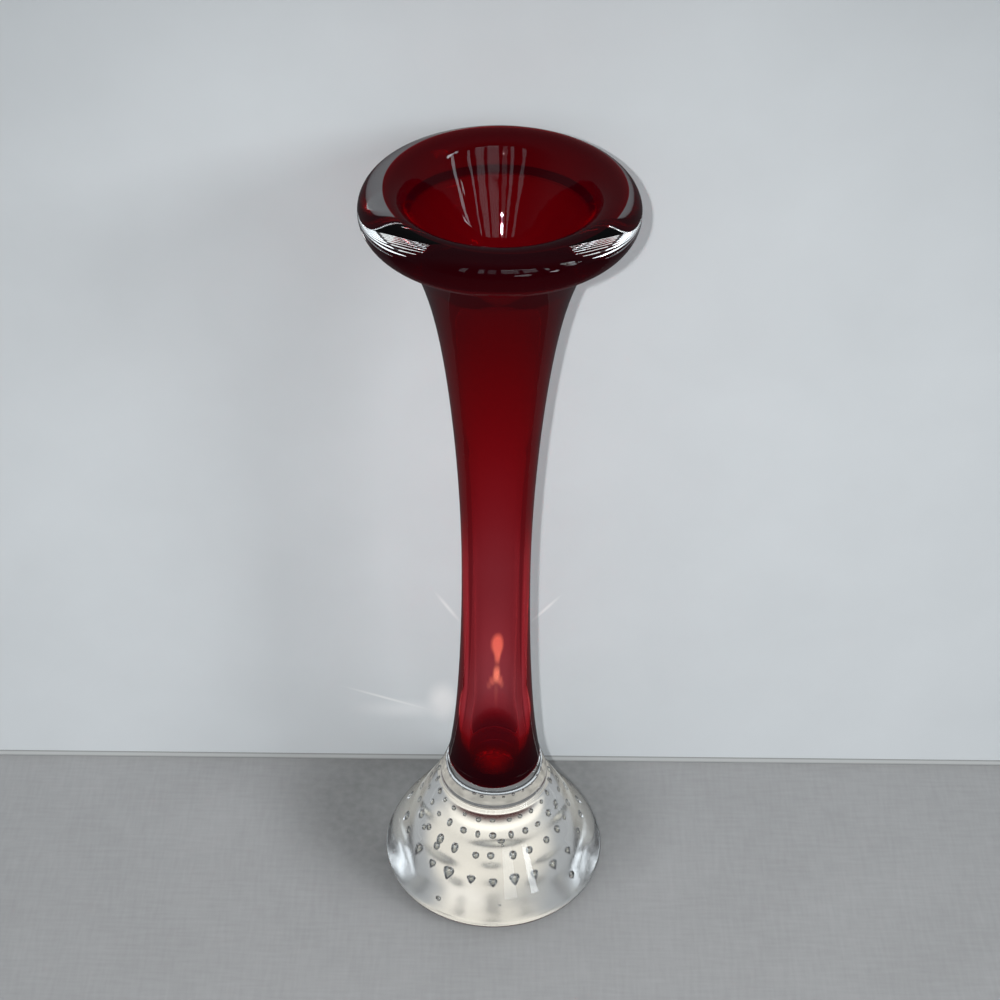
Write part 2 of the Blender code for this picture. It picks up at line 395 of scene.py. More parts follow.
def glass(name, look):
    material, tree, shader, output = newMaterial(name)
    wave = added(tree, "ShaderNodeGroup", node_tree=waves)
    shape = ("scale", "upright", "depth", "pale", "deep")
    feedNamed(tree, wave, {key.capitalize(): look[key] for key in shape})
    feedNamed(tree, shader, {"Transmission Weight": 1, "Roughness": look["roughness"], "IOR": look["ior"],
                             "Base Color": wave.outputs["Colour"]})
    if look["depth"]:
        bump = tree.nodes.new("ShaderNodeBump")
        feedNamed(tree, bump, {"Distance": 1, "Height": wave.outputs["Height"]})  # heights are metres
        feed(tree, shader.inputs["Normal"], bump.outputs[0])
    if "paintedGlow" in look:  # a painted glow: a faint emission standing in for the light that the colour's own fine grains scatter, with its strength
        feedNamed(tree, shader, {"Emission Color": look["paintedGlow"][:3], "Emission Strength": look["paintedGlow"][3]})
    if "takes" in look:  # what the glass takes from the light on its way, for each metre of it
        strongest = max(look["takes"])
        inside = tree.nodes.new("ShaderNodeVolumeAbsorption")
        feedNamed(tree, inside, {"Color": [1 - t / strongest for t in look["takes"]], "Density": strongest})
        feed(tree, output.inputs["Volume"], inside.outputs[0])
    return material


looks = {
    "clear": {"ior": 1.5, "roughness": 0, "scale": 60, "upright": 0.4, "depth": 0.00003,
              "pale": (1, 1, 1), "deep": (0.985, 0.99, 0.985)},
    "lip": {"ior": 1.5, "roughness": 0, "scale": 60, "upright": 1.6, "depth": 0.00001,
            "pale": (1, 1, 1), "deep": (0.97, 0.985, 0.98)},
    "bore": {"ior": 1.5, "roughness": 0, "scale": 260, "upright": 0.05, "depth": 0.00006,
             "pale": (1, 1, 1), "deep": (0.985, 0.985, 0.985)},
    "seam": {"ior": 1.0, "roughness": 0, "scale": 45, "upright": 1, "depth": 0,
             "pale": (1, 1, 1), "deep": (0.999, 0.999, 0.999)},
    "bubble": {"ior": 1.5, "roughness": 0, "scale": 900, "upright": 1, "depth": 0.00001,
               "pale": (0.86, 0.87, 0.85), "deep": (0.8, 0.81, 0.78)},
    "ruby": {"ior": 1.0, "roughness": 0, "scale": 45, "upright": 1, "depth": 0,
             "pale": (1, 1, 1), "deep": (0.999, 0.999, 0.999), "takes": (720, 6500, 5900),
             # painted glow of the ruby: a faint red emission, with its strength
             "paintedGlow": (1.0, 0.0, 0.1, 0.012)},
    "base": {"ior": 1.5, "roughness": 0.1, "scale": 90, "upright": 1, "depth": 0.00004,
             "pale": (1, 1, 1), "deep": (0.97, 0.975, 0.97)},
}
clearGlass = glass("clear_glass", looks["clear"])
lipGlass = glass("lip_glass", looks["lip"])
boreGlass = glass("bore_glass", looks["bore"])
seamGlass = glass("fused_seam", looks["seam"])
bubbleWall = glass("bubble_wall", looks["bubble"])
rubyGlass = glass("ruby_glass", looks["ruby"])
groundGlass = glass("ground_base", looks["base"])


# Clear pieces

line = airSide()
sides = leftOf(line)
print("outline:", len(line), "points")
crest = int(np.argmax(line[:, 1]))
seamLevel = vase["bulbHeight"]
seamGap = 0.01 * mm  # faces of fused gathers that lay in one place would hold the light between them


def nearest(height, first, last=None):  # the point of the line at a height, looked for from first to last
    return first + int(np.argmin(np.abs(line[first:last, 1] - height)))


innerCut = nearest(seamLevel, 0, crest)
throatCut = nearest(lipLevel + vase["lipGlassFrom"] * lipRadius, 0, crest)
flareCut = nearest(flareLevel, crest)
outerCut = nearest(seamLevel, crest)
flatCut = outerCut + int(np.argmax(line[outerCut:, 1] < vase["flatBelow"]))


def airRun(first, last, material, lower=()):  # lower names the ends that stop a seam's gap short of the cut
    points, normals = line[first:last + 1].copy(), sides[first:last + 1].copy()
    for end in lower:
        points[end][1] -= seamGap
    for end in (0, -1):
        if points[end][0] < vase["spacing"] / 2:  # this end is on the axis
            points[end][0], normals[end][0] = 0, 0
            normals[end][1] = math.copysign(1, normals[end][1])
    kept = fewer(points, normals)
    return points[kept], normals[kept], material


core = {
    "rim": 9.8 * mm,
    "knots": ((9.75, 36), (10.0, 32.4), (12.0, 29.6), (14.1, 27.2), (16.9, 24), (20.0, 19.4),
              (24.1, 13.5), (24.6, 11), (23.8, 7.5), (21.8, 5.6), (19, 5)),
    "floor": 5 * mm,
}
bottomOfBore, topOfCut = line[innerCut], line[outerCut]
rimShare = (core["rim"] - bottomOfBore[0]) / (topOfCut[0] - bottomOfBore[0])
rimPoint = blend(bottomOfBore, topOfCut, rimShare) - (0, seamGap)
coreLine = evenLine(throughKnots([rimPoint] + [np.array(k) * mm for k in core["knots"]]), mm)
coreFloor = np.array((0, core["floor"]))
pocket = (coreLine + leftOf(coreLine) * seamGap)[::-1]
pocketFloor = coreFloor - (0, seamGap)


# Bubbles: rings of air in the foot, by Geometry Nodes

bubble = {
    "segments": 16,
    "rings": 12,
    "flatness": 0.8,
    "uneven": 0.2,
    "stray": 0.35,  # up or down, as a share of the bubble's radius
    "aside": 0.4,  # of that share, as a part of the step to the next bubble
    "columns": 24,
    "firstSeed": 11,
    "seedStep": 7,
}


def bubbleTree():
    tree = bpy.data.node_groups.new("Bubble ring", "GeometryNodeTree")
    face = tree.interface
    for way in ("INPUT", "OUTPUT"):
        face.new_socket("Geometry", in_out=way, socket_type="NodeSocketGeometry")
    floats = ("Ring Radius", "Height", "Turn", "Bubble Radius", "Stretch", "Flatness", "Lean", "Taper",
              "Uneven", "Stray")
    kinds = {"Count": "Int", **dict.fromkeys(floats, "Float"), "Seed": "Int", "Material": "Material"}
    sockets = {name: face.new_socket(name, in_out="INPUT", socket_type="NodeSocket" + kind).identifier
               for name, kind in kinds.items()}
    given = tree.nodes.new("NodeGroupInput").outputs

    def times(first, second):
        return maths(tree, "MULTIPLY", first, second)

    def plus(first, second):
        return maths(tree, "ADD", first, second)

    def chance(low, high, addSeed):
        node = added(tree, "FunctionNodeRandomValue", data_type="FLOAT")
        feed(tree, node.inputs[2], low)
        feed(tree, node.inputs[3], high)
        feed(tree, node.inputs["Seed"], plus(given["Seed"], addSeed))
        return node.outputs[1]

    index = tree.nodes.new("GeometryNodeInputIndex").outputs[0]
    stray, backStray = given["Stray"], times(given["Stray"], -1)
    aside = chance(times(backStray, bubble["aside"]), times(stray, bubble["aside"]), 1)
    share = maths(tree, "DIVIDE", plus(index, aside), given["Count"])
    angle = plus(times(share, math.tau), given["Turn"])
    height = plus(given["Height"], times(chance(backStray, stray, 2), given["Bubble Radius"]))
    across, along = (times(given["Ring Radius"], maths(tree, way, angle)) for way in ("COSINE", "SINE"))
    points = added(tree, "GeometryNodePoints", given["Count"], vector(tree, across, along, height))

    ball = added(tree, "GeometryNodeMeshUVSphere", bubble["segments"], bubble["rings"])
    place = tree.nodes.new("GeometryNodeInputPosition").outputs[0]
    parts = added(tree, "ShaderNodeSeparateXYZ", place).outputs
    narrow = plus(1, times(given["Taper"], parts["Z"]))
    thick = times(parts["X"], times(narrow, given["Flatness"]))
    shape = vector(tree, thick, times(parts["Y"], narrow), times(parts["Z"], given["Stretch"]))
    shaped = tree.nodes.new("GeometryNodeSetPosition")
    feedNamed(tree, shaped, {"Geometry": ball.outputs["Mesh"], "Position": shape})

    low, high = maths(tree, "SUBTRACT", 1, given["Uneven"]), plus(1, given["Uneven"])
    size = times(given["Bubble Radius"], chance(low, high, 3))
    sizes = vector(tree, size, times(size, chance(low, high, 4)), times(size, chance(low, high, 5)))
    onPoints = tree.nodes.new("GeometryNodeInstanceOnPoints")
    feedNamed(tree, onPoints, {"Points": points.outputs[0], "Instance": shaped.outputs[0],
                               "Rotation": vector(tree, 0, given["Lean"], angle), "Scale": sizes})
    real = added(tree, "GeometryNodeRealizeInstances", onPoints.outputs[0])
    flip = added(tree, "GeometryNodeFlipFaces", real.outputs[0])
    paint, join = tree.nodes.new("GeometryNodeSetMaterial"), tree.nodes.new("GeometryNodeJoinGeometry")
    feedNamed(tree, paint, {"Geometry": flip.outputs[0], "Material": given["Material"]})
    feed(tree, join.inputs[0], paint.outputs[0])
    feed(tree, join.inputs[0], given["Geometry"])
    feed(tree, tree.nodes.new("NodeGroupOutput").inputs[0], join.outputs[0])
    return tree, sockets


# ring radius, height, bubble radius (mm), stretch, lean of the slope (degrees), taper
bubbleRings = (
    (9.3, 32.5, 0.38, 1.0, 10, 0.0),
    (13.3, 27.2, 0.66, 1.15, 38, 0.0),
    (16.0, 24.0, 0.8, 1.2, 34, 0.05),
    (19.0, 19.4, 0.98, 1.25, 34, 0.1),
    (22.8, 13.5, 1.08, 1.45, 30, 0.6),
)
# the same, for bubbles that strayed, with the angle in place of the taper
strayBubbles = (
    (16.8, 22.8, 1.0, 0.6, 34, -83),
    (17.2, 21.6, 0.35, 1.0, 34, -82),
    (20.2, 17.6, 0.95, 1.1, 34, -136),
    (19.6, 18.4, 0.8, 1.2, 30, -155),
    (16.6, 23.2, 0.85, 0.6, 34, -17),
    (26.0, 8.2, 0.35, 1.0, 30, -86),
    (26.4, 6.6, 0.7, 0.9, 25, -122),
    (26.2, 9.0, 0.9, 1.3, 25, -38),
    (24.0, 11.0, 0.6, 1.4, 30, 60),
    (20.5, 17.0, 0.7, 1.1, 34, 140),
)


def makeBubbles():
    tree, sockets = bubbleTree()
    carrier = placed("bubbles", bpy.data.meshes.new("bubbles"))
    rings = [(*ring, bubble["columns"], 0) for ring in bubbleRings]
    rings += [(*stray[:5], 0, 1, math.radians(stray[5])) for stray in strayBubbles]
    for number, (radius, height, size, stretch, lean, taper, count, turn) in enumerate(rings):
        ring = carrier.modifiers.new("Ring %d" % number, "NODES")
        ring.node_group = tree
        values = {
            "Count": count,
            "Ring Radius": radius * mm,
            "Height": height * mm,
            "Turn": float(turn),
            "Bubble Radius": size * mm,
            "Stretch": stretch,
            "Flatness": bubble["flatness"],
            "Lean": -math.radians(lean),
            "Taper": float(taper),
            "Uneven": bubble["uneven"],
            "Stray": bubble["stray"] if count > 1 else 0.0,
            "Seed": bubble["firstSeed"] + bubble["seedStep"] * number,
            "Material": bubbleWall,
        }
        for name, value in values.items():
            ring[sockets[name]] = value
    view = bpy.context.evaluated_depsgraph_get()
    mesh = bpy.data.meshes.new_from_object(carrier.evaluated_get(view))
    bpy.data.objects.remove(carrier)
    return mesh


bubbles = makeBubbles()
print("bubbles:", len(bubbles.polygons), "faces")

casing = turned("casing_glass", [clearGlass, seamGlass, lipGlass, boreGlass], [
    airRun(innerCut, throatCut, boreGlass),
    airRun(throatCut, flareCut, lipGlass),
    airRun(flareCut, outerCut, clearGlass),
    (*straight(topOfCut, bottomOfBore), seamGlass),
])
lowBore, lowCut = bottomOfBore - (0, seamGap), topOfCut - (0, seamGap)
coreGlass = turned("core_glass", [clearGlass, seamGlass, bubbleWall, boreGlass], [
    airRun(0, innerCut, boreGlass, lower=(-1,)),
    (*straight(lowBore, rimPoint), seamGlass),
    (coreLine, leftOf(coreLine), seamGlass),
    (*straight(coreLine[-1], coreFloor), seamGlass),
], extra=(bubbles, bubbleWall))
gather = turned("gather_glass", [clearGlass, seamGlass, groundGlass], [
    airRun(outerCut, flatCut, clearGlass, lower=(0,)),
    airRun(flatCut, len(line) - 1, groundGlass),
    (np.array([(0, 0), pocketFloor]), np.array([(0, 1), (0, 1)]), seamGlass),
    (*straight(pocketFloor, pocket[0]), seamGlass),
    (pocket, leftOf(pocket), seamGlass),
    (*straight(pocket[-1], lowCut), seamGlass),
])


# Ruby lining: a thin coat just under the bore's surface, rolled out over the lip

ruby = {
    "depth": 0.02 * mm,
    "walls": (  # height and wall (mm)
        (33, 0.7), (34.5, 1.7), (36.5, 2.7), (40, 2.7), (43, 1.7), (46, 0.6), (50, 0.2), (57, 0.125),
        (69, 0.125), (80, 0.155), (95, 0.165), (109, 0.175), (137, 0.31), (164, 0.55), (178, 0.8),
        (188, 0.9), (200, 1.0), (204, 1.4), (210, 1.9),
    ),
    "lipAngles": (20, 150),  # part of the lip, in degrees, where the coat's edge can be
    "endAngle": 80,
    "toRight": -14,
    "toBack": -9,
    "endTaper": 2 * mm,
    "endRoundness": 0.5,
    "tip": 0.5,
    "crowding": 1.5,  # over 1 draws the rings towards the edge
    "steps": 192,
    "rings": 240,
}


def rubyLining():
    steps, r = ruby["steps"], ruby
    run = np.append(0, np.cumsum(np.linalg.norm(np.diff(line, axis=0), axis=1)))
    lipAngle = np.degrees(np.arctan2(line[:, 1] - lipLevel, line[:, 0] - lipRing))
    least, most = r["lipAngles"]
    before = np.arange(len(line)) < outerCut
    onLip = np.flatnonzero(before & (lipAngle > least) & (lipAngle < most) & (line[:, 1] > lipLevel))
    share = 1 - (1 - np.linspace(0, 1, r["rings"])) ** r["crowding"]
    heights, walls = np.array(r["walls"]).T * mm
    spokes = []
    for j in range(steps):
        turn = math.tau * j / steps
        end = r["endAngle"] + r["toRight"] * math.cos(turn) + r["toBack"] * math.sin(turn)
        reach = np.interp(-end, -lipAngle[onLip], run[onLip])
        at = share * reach
        spot = np.stack([np.interp(at, run, line[:, k]) for k in (0, 1)], 1)
        side = np.stack([np.interp(at, run, sides[:, k]) for k in (0, 1)], 1)
        taper = np.clip((reach - at) / r["endTaper"], 0, 1) ** r["endRoundness"]
        wall = np.interp(spot[:, 1], heights, walls) * blend(r["tip"], 1, taper)
        inner = spot - side * r["depth"]
        outer = spot - side * (r["depth"] + wall)[:, None]
        inner[0, 0] = outer[0, 0] = 0
        both = np.concatenate([inner, outer[::-1]])
        spokes.append(np.stack([both[:, 0] * math.cos(turn), both[:, 0] * math.sin(turn), both[:, 1]], 1))
    rows = len(spokes[0])
    points = [tuple(spokes[0][0])] + [tuple(spokes[j][i]) for i in range(1, rows - 1) for j in range(steps)]
    points.append(tuple(spokes[0][-1]))
    last = len(points) - 1
    faces = []
    for j in range(steps):
        k = (j + 1) % steps
        faces.append([0, 1 + j, 1 + k])
        for i in range(rows - 3):
            a, b = 1 + i * steps, 1 + (i + 1) * steps
            faces.append([a + j, b + j, b + k, a + k])
        faces.append([last - steps + j, last, last - steps + k])
    mesh = bpy.data.meshes.new("ruby_lining_glass")
    mesh.from_pydata(points, [], faces)
    mesh.shade_smooth()
    mesh.materials.append(rubyGlass)
    return placed("ruby_lining_glass", mesh)


lining = rubyLining()
for piece, node, slot in ((lining, "ruby_lining", "ruby_glass"), (casing, "stem_casing", "casing_glass"),
                          (coreGlass, "foot_core", "core_glass"), (gather, "foot_gather", "foot_glass")):
    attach(piece, "root")
    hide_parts(node)
    print(piece.name, sum(len(p.vertices) - 2 for p in piece.data.polygons), "triangles")


# Floor, wall and room

wallY = 34.8  # mm, as in the spots
stage = {
    "wallAt": wallY * mm,
    "wallWide": 1.2,
    "wallHigh": 0.9,
    "floorWide": 8,
    "floorAt": -0.05 * mm,
    "stripHeight": 2.2 * mm,
    "stripStandsOut": 0.4 * mm,
    "roughness": 0.9,
    "specular": 0.1,
    "grainDetail": 6,
    "spotDetail": 2,
    "glassContrast": 0.03,  # of the grain in the colours that show through the glass
    "streakColour": (0.93, 0.95, 0.96),
}
# The glass shows the stage as a glow of set colours, painted light that stands in for the lamps, which can't
# reach it there: "straight" for light that only crosses the glass, "bounced" for light thrown back once inside
# it,
# "deep" for more. The spots are painted light and shade, such as gathered light and the vase's shadow: centre
# (mm), squeeze of x, y and z, reach (mm), pale and deep colour, and grain.
floorLook = {
    "colour": (0.375, 0.38, 0.385),
    "grains": ((900, 110, 0.3), (110, 900, 0.3), (30, 30, 0.25), (7, 9, 0.15)),
    "contrast": 0.3,
    "mirrored": (0.035, 0.035, 0.037),
    "straight": (0.33, 0.34, 0.335),
    # painted light: warm gathered light under the foot, and a mottled bright patch near the wall
    "straightSpots": (
        ((0, 0, 0), (1, 1, 1), (12, 24), (0.55, 0.53, 0.47), (0.30, 0.30, 0.27), 90),
        ((0, 27, 0), (0.6, 1, 1), (9, 17), (0.95, 0.92, 0.83), (0.02, 0.02, 0.02), 350),
    ),
    "bounced": (0.20, 0.205, 0.205),
    # painted shade: darker under the foot, and a dark wine-red shade of the ruby
    "bouncedSpots": (
        ((0, 0, 0), (1, 1, 1), (12, 24), (0.17, 0.16, 0.15), (0.11, 0.10, 0.10), 90),
        ((0, 17, 0), (0.3, 1, 1), (6, 9), (0.10, 0.03, 0.03), (0.05, 0.015, 0.015), 300),
    ),
    "deep": (0.05, 0.05, 0.05),
    "deepSpots": (),
    # painted shadow of the vase on the floor beside the foot
    "paintedLightAndShade": (((-8, 18, 0), (0.75, 1, 1), (24, 48), (0.30, 0.305, 0.305), (0.20, 0.205, 0.205), 400),),
}
wallLook = {
    "colour": (0.725, 0.765, 0.79),
    "grains": ((30, 30, 1),),
    "contrast": 0.06,
    "mirrored": (0.07, 0.073, 0.078),
    "straight": (0.195, 0.197, 0.204),
    # painted shade and light: the vase's shadow behind the lip and stem, brighter light behind the neck, shade
    # at the foot of the wall, then small spots of gathered light
    "straightSpots": (
        ((0, wallY, 215), (0.6, 1, 1), (48, 115), (0.145, 0.147, 0.158), (0.13, 0.132, 0.14), 60),
        ((0, wallY, 36), (1.2, 1, 1), (4, 34), (0.275, 0.277, 0.285), (0.26, 0.262, 0.27), 60),
        ((0, wallY, 0), (0.5, 1, 1), (13, 24), (0.06, 0.06, 0.06), (0.05, 0.05, 0.05), 60),
        ((1.2, wallY, 37), (1.5, 1, 0.45), (1, 5), (0.36, 0.42, 0.36), (0.30, 0.36, 0.30), 300),
        ((0.8, wallY, 27), (2.2, 1, 0.6), (1, 5), (0.36, 0.42, 0.36), (0.30, 0.36, 0.30), 300),
        ((1.8, wallY, 44), (1, 1, 1.1), (2.8, 6.4), (1.3, 1.55, 0.88), (1.0, 1.2, 0.7), 300),
        ((1.8, wallY, 40.5), (1.5, 1, 0.9), (1.5, 5.5), (1.3, 1.55, 0.88), (1.0, 1.2, 0.7), 300),
        ((-5.6, wallY, 28.6), (1, 1, 1.8), (0.5, 3.4), (0.45, 0.55, 0.42), (0.4, 0.45, 0.36), 300),
        ((6.8, wallY, 28.8), (1, 1, 1.8), (0.5, 3.4), (0.5, 0.6, 0.45), (0.42, 0.5, 0.38), 300),
        ((-2.6, wallY, 30.4), (1, 1, 1.8), (0.5, 3.8), (0.75, 0.9, 0.58), (0.6, 0.7, 0.48), 300),
        ((4.6, wallY, 30.4), (1, 1, 1.8), (0.5, 3.8), (0.85, 1.0, 0.65), (0.7, 0.8, 0.52), 300),
        ((1.2, wallY, 32.4), (1, 1, 1.3), (0.8, 4.2), (1.45, 2.0, 1.1), (1.2, 1.7, 0.9), 300),
    ),
    "bounced": (0.12, 0.124, 0.13),
    # painted light and shade seen after one bounce in the glass: warm gathered light behind the foot, bright
    # patches and thin bright lines, a dark wine-red shade, and a bright spot low down
    "bouncedSpots": (
        ((0, wallY, 38), (1, 1, 1), (36, 60), (0.43, 0.45, 0.46), (0.37, 0.39, 0.40), 60),
        ((2, wallY, 38), (3.1, 1, 1), (14, 38), (1.12, 1.07, 0.95), (0.56, 0.54, 0.48), 90),
        ((-8, wallY, 59), (1, 1, 1), (3, 7), (0.50, 0.51, 0.50), (0.40, 0.41, 0.40), 90),
        ((4, wallY, 58), (1.4, 1, 1), (4, 9), (1.3, 1.25, 1.14), (1.0, 0.97, 0.88), 90),
        ((2, wallY, 54), (0.06, 1, 1), (0.3, 0.9), (0.50, 0.50, 0.47), (0.46, 0.46, 0.43), 60),
        ((2, wallY, 61), (0.06, 1, 1), (0.3, 0.9), (0.50, 0.50, 0.47), (0.46, 0.46, 0.43), 60),
        ((0, wallY, 11), (0.45, 1, 1), (3.5, 6), (0.10, 0.03, 0.03), (0.05, 0.015, 0.015), 300),
        ((-2, wallY, 18), (0.2, 1, 1), (0.8, 2.5), (1.4, 1.35, 1.2), (1.0, 0.96, 0.86), 90),
    ),
    "deep": (0.07, 0.07, 0.075),
    # painted light: a bright patch seen after several bounces in the glass, behind the lip
    "deepSpots": (((0, wallY, 225), (0.4, 1, 1), (55, 75), (1.4, 1.48, 1.5), (0.3, 0.31, 0.31), 140),),
    # painted light: patches of gathered light low on the wall beside the foot
    "paintedLightAndShade": (
        ((-14.5, wallY, 23), (1, 1, 0.6), (1, 6), (0.95, 0.96, 0.97), (0.95, 0.96, 0.97), 60),
        ((-26, wallY, 20), (0.3, 1, 1), (0, 5), (0.84, 0.87, 0.89), (0.84, 0.87, 0.89), 60),
    ),
    "streaks": (  # light that the vase gathers on the wall: x, height, turn (degrees), half length, half width
        (-13.0, 58.6, -58, 8, 0.8), (13.6, 58.4, 51, 8, 0.7), (-30, 24, -20, 16, 0.7),
    ),
}


def plane(name, corners, material):
    mesh = bpy.data.meshes.new(name)
    mesh.from_pydata(corners, [], [(0, 1, 2, 3)])
    mesh.materials.append(material)
    piece = placed(name, mesh)
    return piece


def tintedNoise(tree, grains, pale, deep, detail):  # a grain is its scale across, its scale up and its share
    place = tree.nodes.new("ShaderNodeTexCoord").outputs["Object"]
    total = 0
    for across, along, share in grains:
        squeezed = vectorMaths(tree, "MULTIPLY", place, (across, along, along))
        total = maths(tree, "MULTIPLY_ADD", noise(tree, squeezed, 1, detail), share, total)
    return mixed(tree, total, deep, pale)


def grained(tree, look, name, contrast):  # one of the look's colours with its grain
    pale, deep = ([c * factor for c in look[name]] for factor in (1 + contrast, 1 - contrast))
    return tintedNoise(tree, look["grains"], pale, deep, stage["grainDetail"])


def nearness(tree, centre, squeeze, reach, turn=0):  # 1 about the centre, easing to 0 over the reach (mm)
    place = tree.nodes.new("ShaderNodeTexCoord").outputs["Object"]
    offset = vectorMaths(tree, "SUBTRACT", place, np.array(centre) * mm)
    if turn:
        turning = added(tree, "ShaderNodeVectorRotate", offset, rotation_type="Y_AXIS")
        turning.inputs["Angle"].default_value = math.radians(turn)
        offset = turning.outputs[0]
    away = vectorMaths(tree, "LENGTH", vectorMaths(tree, "MULTIPLY", offset, squeeze))
    return ramp(tree, away, reach[0] * mm, reach[1] * mm, 1, 0)


def spotted(tree, colour, spots):  # soft spots of light or shade over a colour
    for centre, squeeze, reach, pale, deep, grain in spots:
        spot = tintedNoise(tree, ((grain, grain, 1),), pale, deep, stage["spotDetail"])
        colour = mixed(tree, nearness(tree, centre, squeeze, reach), colour, spot)
    return colour


def streaked(tree, colour, streaks):  # narrow streaks of gathered light
    for across, height, turn, halfLength, halfWidth in streaks:
        near = nearness(tree, (across, wallY, height), (1 / halfLength, 1, 1 / halfWidth), (0, 1), turn)
        colour = mixed(tree, near, colour, stage["streakColour"])
    return colour


def frontOnly(tree, shader):  # shows nothing from behind
    behind = tree.nodes.new("ShaderNodeNewGeometry").outputs["Backfacing"]
    return mixedShaders(tree, behind, shader, tree.nodes.new("ShaderNodeBsdfTransparent").outputs[0])


def stageMaterial(name, look, oneSided):
    material, tree, shader, output = newMaterial(name)
    # painted light and shade: spots laid over the surface's own colour
    colour = spotted(tree, grained(tree, look, "colour", look["contrast"]), look["paintedLightAndShade"])
    colour = streaked(tree, colour, look.get("streaks", ()))
    feedNamed(tree, shader, {"Roughness": stage["roughness"], "Specular IOR Level": stage["specular"],
                             "Base Color": colour})
    seen = tree.nodes.new("ShaderNodeLightPath").outputs

    def throughGlass(way):
        return spotted(tree, grained(tree, look, way, stage["glassContrast"]), look[way + "Spots"])

    # painted light: seen through the glass, the stage glows at its set colours and painted spots in place of
    # being lit
    shown = throughGlass("straight")
    for way, bounces in (("bounced", 1), ("deep", 2)):
        often = maths(tree, "GREATER_THAN", seen["Glossy Depth"], bounces - 0.5)
        shown = mixed(tree, often, shown, throughGlass(way))
    glow, dim = added(tree, "ShaderNodeEmission", shown), added(tree, "ShaderNodeEmission", look["mirrored"])
    # painted reflection: in reflections the stage shows a fixed dim glow in place of its lit colour
    surface = mixedShaders(tree, seen["Is Glossy Ray"], shader.outputs[0], dim.outputs[0])
    surface = mixedShaders(tree, seen["Is Transmission Ray"], surface, glow.outputs[0])
    if oneSided:
        surface = frontOnly(tree, surface)
    feed(tree, output.inputs["Surface"], surface)
    return material


stripLook = {
    "colour": (0.60, 0.62, 0.62),
    "line": (0.26, 0.27, 0.27),
    "lineWidth": 0.35 * mm,
    "roughness": 0.7,
}


def stripMaterial(name, look):  # the pale joint along the foot of the wall, with a dark line on both sides
    material, tree, shader, output = newMaterial(name)
    middle = stage["stripHeight"] / 2
    place = tree.nodes.new("ShaderNodeTexCoord").outputs["Object"]
    height = added(tree, "ShaderNodeSeparateXYZ", place).outputs["Z"]
    away = maths(tree, "ABSOLUTE", maths(tree, "SUBTRACT", height, middle))
    edge = added(tree, "ShaderNodeMapRange", away, middle - 2 * look["lineWidth"], middle)
    feedNamed(tree, shader, {"Roughness": look["roughness"],
                             "Base Color": mixed(tree, edge.outputs[0], look["colour"], look["line"])})
    feed(tree, output.inputs["Surface"], frontOnly(tree, shader.outputs[0]))
    return material


def makeStage():
    s = stage
    half, low = s["floorWide"] / 2, s["floorAt"]
    plane("floor", [(-half, -half, low), (half, -half, low), (half, half, low), (-half, half, low)],
          stageMaterial("floor", floorLook, False))
    wide, front = s["wallWide"] / 2, s["wallAt"] - s["stripStandsOut"]
    uprights = (
        ("wall", s["wallAt"], s["wallHigh"], stageMaterial("wall", wallLook, True)),
        ("strip", front, s["stripHeight"], stripMaterial("strip", stripLook)),
    )
    for name, back, high, material in uprights:
        plane(name, [(-wide, back, 0), (wide, back, 0), (wide, back, high), (-wide, back, high)], material)
    print("stage: floor, wall and strip")


makeStage()

room = {
    "dark": (0.012, 0.013, 0.015),
    "side": (0.07, 0.072, 0.075),
    "darkens": (-0.2, -0.8),  # y of the directions between which the side's colour turns to the dark
    "inside": (0.03, 0.03, 0.034),
    "thrownBack": (0.30, 0.32, 0.33),
    "thrownBackTimes": 3,  # or more
    "pale": (0.62, 0.63, 0.64),
    "ambient": (0.47, 0.472, 0.475),
    "daylight": (0.86, 0.94, 1.0),
    "panes": (  # left, right, bottom, top as slopes in front of the vase, then strength
        (-0.62, -0.50, 0.45, 0.90, 0.7), (-0.30, -0.22, 0.45, 0.95, 0.8), (-0.16, -0.05, 0.45, 0.95, 0.4),
        (0.03, 0.29, 0.50, 0.95, 0.7), (0.36, 0.60, 0.50, 0.95, 0.8), (0.76, 0.84, 0.50, 0.86, 1.4),
        (0.03, 0.60, 0.87, 0.97, 0.8),
        (0.21, 0.45, 0.22, 0.34, 2.0), (0.80, 1.02, 0.22, 0.34, 7.0),
        (1.55, 1.80, 0.45, 1.0, 3.0), (1.3, 2.2, 1.0, 1.12, 8.0), (1.3, 2.3, 0.60, 0.66, 5.0),
    ),
    "paneEdge": 0.015,
    "leastForward": 0.02,
    "sides": (  # direction, cosines where the light starts and is full, then strength
        ((-0.80, -0.45, 0.38), 0.72, 0.86, 1.3), ((0.80, -0.45, 0.38), 0.72, 0.86, 1.3),
        ((0, -1, 0.25), 0.90, 0.97, 0.5),
    ),
    "sidesSeldom": 0.4,  # share of the side lights that shows after fewer bounces
}


